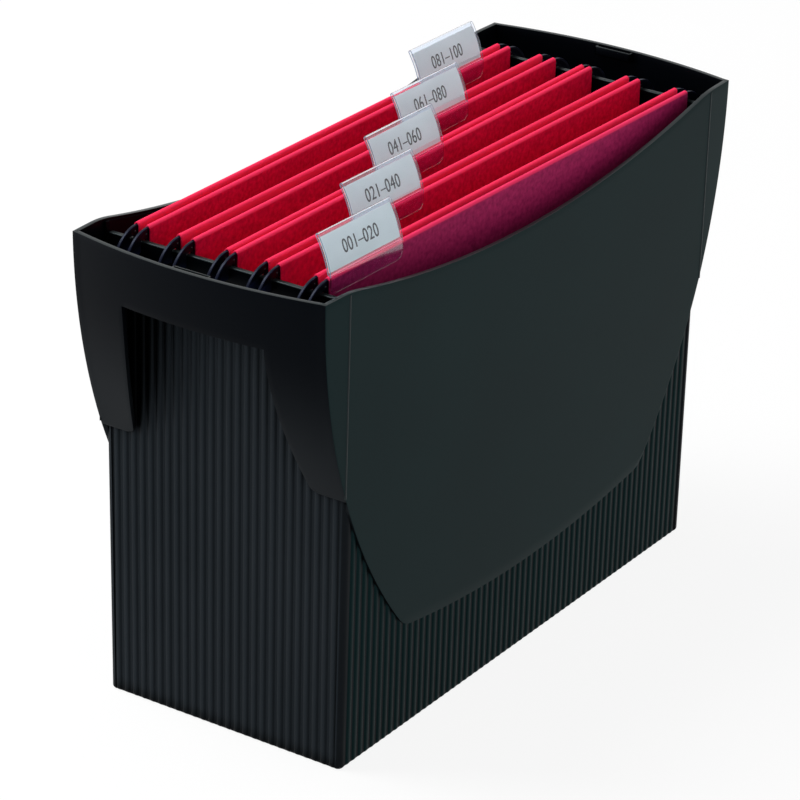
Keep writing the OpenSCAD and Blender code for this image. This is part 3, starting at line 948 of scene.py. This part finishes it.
def makeLeaf(i, side):
    # side 1 is the back leaf, -1 the front leaf
    f = fileSize
    path = leafPath(f["gap"][i] / 2, side)
    outline = offsetPath(path, f["cardThick"] / 2) + offsetPath(path, -f["cardThick"] / 2)[::-1]
    steps = fractions(48)
    points = []
    for s in steps:
        x = f["cardLong"] * (s - 0.5)
        along = f["wave"] * math.sin(x / f["waveLong"] + f["waveTurn"] * i)
        for y, z in outline:
            sway = along * math.sin((z - 30) / f["waveTall"] + side)
            calm = max(0.0, min(1.0, (246 - z) / 60)) * max(0.0, min(1.0, (z - 26) / 30))
            points.append((x, y + sway * calm, z))
    # the outermost front leaf gets the darker copy: painted shade
    finish = "cardBack" if side > 0 else "cardOuter" if i == len(f["place"]) - 1 else "cardFront"
    faces = tubeFaces(len(steps), len(outline))
    leaf = makeObject(f"card{i + 1}{sideName(side)}Leaf", points, faces, finish, 40, 0.001)
    placeFile(leaf.data, i)
    return leaf


def plateFrom(outline, middle, thick, finish, bevel):
    # a flat plate standing in the xz plane
    points = [(x, middle + way * thick / 2, z) for way in (-1, 1) for x, z in outline]
    plate = makeObject("plate", points, tubeFaces(2, len(outline)), finish, weld=0.001)
    addBevel(plate, bevel, 2, 35)
    applyModifiers(plate)
    return plate


def hookOutlines():
    # web of the claw with its slot over the rail, and the flange along its curved edge
    h = hangerSize
    end = fileSize["cardLong"] / 2
    r = h["hookReach"] - end
    top = h["barTop"]
    tip = boxSize["railHeight"] - h["tipDrop"]
    railMid = halfTub - boxSize["railThick"] / 2
    slotHalf = boxSize["railThick"] / 2 + h["slotGap"]
    slotTop = boxSize["railHeight"] + h["slotGap"]
    angles = spread(90, math.degrees(math.asin((tip - top + r) / r)), 14)

    def onArc(radius, a):
        return (end + radius * math.cos(math.radians(a)), top - r + radius * math.sin(math.radians(a)))

    low = top - h["barHigh"]
    web = [(end - 30, low), (railMid - slotHalf, low), (railMid - slotHalf, slotTop)]
    web += [(railMid + slotHalf, slotTop), (railMid + slotHalf, tip)]
    web += [onArc(r - 0.3, a) for a in reversed(angles)]
    web += [(end - 30, top - 0.3)]
    flange = [onArc(r, a) for a in angles] + [onArc(r - h["flangeThick"], a) for a in reversed(angles)]
    flange = [(end - 2.5, top), *flange, (end - 2.5, top - h["flangeThick"])]
    return web, flange


def makeHanger(i, side):
    h = hangerSize
    middle, end = side * fileSize["gap"][i] / 2, fileSize["cardLong"] / 2
    web, flange = hookOutlines()
    parts = []
    for s in (-1, 1):
        for outline, thick, bevel in ((web, h["webThick"], 0.2), (flange, h["flangeWide"], 0.3)):
            parts.append(plateFrom([(s * x, z) for x, z in outline], middle, thick, "hangerPlastic", bevel))
    low, top, half = h["barTop"] - h["barHigh"], h["barTop"], h["thick"] / 2
    parts.append(boxBlock((-end + 2, middle - half, low), (end - 2, middle + half, top), "hangerPlastic", 0.3, 2))
    hanger = joinPieces(f"hanger{i + 1}{sideName(side)}", parts)
    placeFile(hanger.data, i)
    smoothFaces(hanger.data, 30)
    return hanger


def makeRivets(i, side):
    # a small domed rivet through each claw, next to the card's end
    h, f = hangerSize, fileSize
    middle, half = side * f["gap"][i] / 2, h["webThick"] / 2
    points, faces = [], []
    profile = [(0.02, 0.35), (0.3, 0.31), (0.5, 0.20), (0.62, 0.0)]
    rows = [(r, half + d) for r, d in profile] + [(r, -half - d) for r, d in profile[::-1]]
    n = 14
    for s in (-1, 1):
        cx, cz = s * (f["cardLong"] / 2 + h["eyeIn"]), h["barTop"] - h["eyeDown"]
        faces += tubeFaces(len(rows), n, len(points))
        for r, d in rows:
            for k in range(n):
                a = 2 * math.pi * k / n
                points.append((cx + r * math.cos(a), middle + d, cz + r * math.sin(a)))
    rivets = makeObject(f"rivets{i + 1}{sideName(side)}", points, faces, "rivetMetal", 50, 0.001)
    placeFile(rivets.data, i)
    return rivets


def tabFoot():
    # where the tab's curve starts, in front of the hem: (y, z), and its centre
    t, f = tabSize, fileSize
    y = -f["hemThick"] / 2 - 0.9
    lean = math.radians(t["lean"])
    z = f["cardTop"] + 0.3 + (2 * t["sheet"] + t["slot"]) * math.sin(lean)
    return (y, z), (y + t["radius"] * math.cos(lean), z - t["radius"] * math.sin(lean))


def tabPoint(depth, s):
    # a point on the tab's curve, at a depth behind its front face and a length s up from its foot
    t = tabSize
    centre = tabFoot()[1]
    a = math.radians(180 - t["lean"]) - s / t["radius"]
    r = t["radius"] - depth
    return (centre[0] + r * math.cos(a), centre[1] + r * math.sin(a))


def placeTab(mesh, i):
    t, f = tabSize, fileSize
    shift = Matrix.Translation(((t["middle"] + (2 - i) * t["step"]) * mm, -f["gap"][i] / 2 * mm, 0))
    mesh.transform(shift)
    placeFile(mesh, i)


def makeTab(i):
    # one clear sheet: flange in front of the hem, up the front, folded over the top and down behind
    t, f = tabSize, fileSize
    foot = tabFoot()[0]
    half, back, high = t["sheet"] / 2, t["sheet"] + t["slot"], t["high"]
    lowEnd = f["cardTop"] - t["flange"]
    path = [(foot[0] + half, lowEnd + (foot[1] - lowEnd) * s) for s in (0, .06, .14, .25, .4, .47, .6, .8, .95)]
    path += [tabPoint(half, s) for s in spread(0, high, 16)[1:-1]]
    r = back / 2
    middle = tabPoint(half + r, high - r)
    ahead = math.radians(180 - t["lean"]) - (high - r) / t["radius"]
    for a in range(0, 181, 30):
        out, along = r * math.cos(math.radians(a)), r * math.sin(math.radians(a))
        path.append((middle[0] + out * math.cos(ahead) + along * math.sin(ahead),
                     middle[1] + out * math.sin(ahead) - along * math.cos(ahead)))
    path += [tabPoint(half + back, s) for s in spread(0, high, 16)[-2:0:-1]]
    path += [tabPoint(half + back * 0.75, 0.9), tabPoint(half + back * 0.35, 0.35)]
    left, right = offsetPath(path, half), offsetPath(path, -half)
    points = []
    length = 0.0
    for k, p in enumerate(path):
        length += math.dist(p, path[k - 1]) if k else 0.0
        w = t["wide"] / 2 - roundOff(t["flangeRound"], length)
        points += [(-w, *left[k]), (w, *left[k]), (w, *right[k]), (-w, *right[k])]
    tab = makeObject(f"tab{i + 1}", points, tubeFaces(len(path), 4), "clearSheet", 40, 0.0005)
    paintFaces(tab.data, "cutEdge", lambda face: abs(face.normal.x) > 0.9 and face.center.z > f["cardTop"] * mm)
    placeTab(tab.data, i)
    return tab


def makeLabel(i):
    t = tabSize
    depth, start = t["sheet"] + t["slot"] / 2, (t["high"] - t["paperHigh"]) / 2
    half = t["paperWide"] / 2
    points = []
    for at in spread(start, start + t["paperHigh"], 16):
        for x, way in ((-half, -1), (half, -1), (half, 1), (-half, 1)):
            y, z = tabPoint(depth + way * t["paperThick"] / 2, at)
            points.append((x + t["paperShift"], y, z))
    label = makeObject(f"paperLabel{i + 1}", points, tubeFaces(17, 4), "labelPaper", 40, 0.0005)
    placeTab(label.data, i)
    return label


def makeWords(i):
    # plain numbers printed on the paper, bent with it
    t = tabSize
    text = bpy.data.curves.new("numbers", "FONT")
    text.body = t["words"][i]
    text.size = 1.0
    text.align_x = "CENTER"
    text.space_character = 1.06
    text.extrude = 0.004
    flat = putObject("numbers", text)
    bpy.context.view_layer.update()
    mesh = bpy.data.meshes.new_from_object(flat.evaluated_get(bpy.context.evaluated_depsgraph_get()))
    bpy.data.objects.remove(flat)
    scale = t["wordHigh"] / max(v.co.y for v in mesh.vertices)
    work = bmesh.new()
    work.from_mesh(mesh)

    def everything():
        return [*work.verts, *work.edges, *work.faces]

    for k in range(1, int(t["wordHigh"] / t["wordStrip"]) + 1):
        level = (0, k * t["wordStrip"] / scale, 0)
        bmesh.ops.bisect_plane(work, geom=everything(), plane_co=level, plane_no=(0, 1, 0))
    # a second copy a hair to the side makes the strokes a little bolder
    for part in bmesh.ops.duplicate(work, geom=everything())["geom"]:
        if isinstance(part, bmesh.types.BMVert):
            part.co.x += t["wordBold"] / scale
    work.to_mesh(mesh)
    work.free()
    front = t["sheet"] + t["slot"] / 2 - t["paperThick"] / 2
    foot = (t["high"] - t["paperHigh"]) / 2 + t["wordUp"]
    for v in mesh.vertices:
        x = v.co.x * scale * t["wordNarrow"] + t["wordAt"] - t["wide"] / 2
        rise = t["wordRise"][1 if v.co.z > 0 else 0]
        v.co = Vector((x, *tabPoint(front - rise, foot + v.co.y * scale))) * mm
    mesh.materials.clear()
    mesh.materials.append(materials["printInk"])
    placeTab(mesh, i)
    return putObject(f"labelNumbers{i + 1}", mesh)


for i in range(len(fileSize["place"])):
    file = f"file_{i + 1}"
    for side, body in ((1, file), (-1, file + "_front")):
        node = f"{file}_{sideName(side).lower()}"
        finishPiece(makeLeaf(i, side), body, (node + "_leaf",))
        finishPiece(makeHanger(i, side), body, (node + "_hanger",))
        finishPiece(makeRivets(i, side), body)
    finishPiece(makeTab(i), file + "_tab", (file + "_tab",))
    finishPiece(makeLabel(i), file + "_label", (file + "_label",))
    finishPiece(makeWords(i), file + "_label")
    print("file", i + 1, "made")


# the studio

studio = {
    "floorHalf": 12.0, "floorTone": (0.93, 0.935, 0.94), "floorGlow": 0.89,
    "ambient": 0.40,
    "lamps": [
        {"name": "keyLamp", "size": 1.3, "power": 58.0, "at": (-0.5, 1.3, 2.35), "to": (0, 0, 0.12)},
        {"name": "sideLamp", "size": 1.2, "power": 60.0, "at": (-1.3, 2.4, 0.35), "to": (-0.16, 0, 0.12)},
        {"name": "frontLamp", "size": 1.8, "power": 6.0, "at": (0.9, -2.6, 0.9), "to": (0.05, 0, 0.12)},
    ],
}


def seenByRay(tree):
    # 1 for camera, glossy and transmission rays, 0 for diffuse light
    light = addNode(tree, "ShaderNodeLightPath").outputs
    seen = calc(tree, "MAXIMUM", light["Is Camera Ray"], light["Is Glossy Ray"])
    return calc(tree, "MAXIMUM", seen, light["Is Transmission Ray"])


def makeStudio(s):
    mesh = bpy.data.meshes.new("studioFloor")
    h = s["floorHalf"]
    mesh.from_pydata([(-h, -h, 0), (h, -h, 0), (h, h, 0), (-h, h, 0)], [], [(0, 1, 2, 3)])
    floor = putObject("studioFloor", mesh)
    material, tree, shader = startMaterial("paleFloor")
    for key, value in (("Base Color", s["floorTone"]), ("Roughness", 0.9), ("Specular IOR Level", 0.1)):
        feed(tree, shader.inputs[key], value)
    glow = addNode(tree, "ShaderNodeEmission", (400, -500), Strength=1.0)
    blend = addNode(tree, "ShaderNodeMixShader", (600, -200))
    share = calc(tree, "MULTIPLY", seenByRay(tree), s["floorGlow"])
    for key, value in enumerate((share, shader.outputs[0], glow.outputs[0])):
        feed(tree, blend.inputs[key], value)
    feed(tree, tree.nodes["Material Output"].inputs["Surface"], blend.outputs[0])
    mesh.materials.append(material)
    world = bpy.data.worlds.new("studioWorld")
    bpy.context.scene.world = world
    world.use_nodes = True
    tree = world.node_tree
    background = tree.nodes["Background"].inputs
    feed(tree, background["Color"], (1, 1, 1))
    feed(tree, background["Strength"], mapRange(tree, (0, 0), seenByRay(tree), end=(s["ambient"], 1.0)))
    for l in s["lamps"]:
        data = bpy.data.lights.new(l["name"], "AREA")
        data.shape = "SQUARE"
        data.size = l["size"]
        data.energy = l["power"]
        lamp = putObject(l["name"], data)
        lamp.location = l["at"]
        lamp.rotation_mode = "QUATERNION"
        lamp.rotation_quaternion = (Vector(l["to"]) - Vector(l["at"])).to_track_quat("-Z", "Y")


makeStudio(studio)
makeCamera(cameraSet)
bpy.context.scene.view_settings.view_transform = "Standard"
print("studio made")
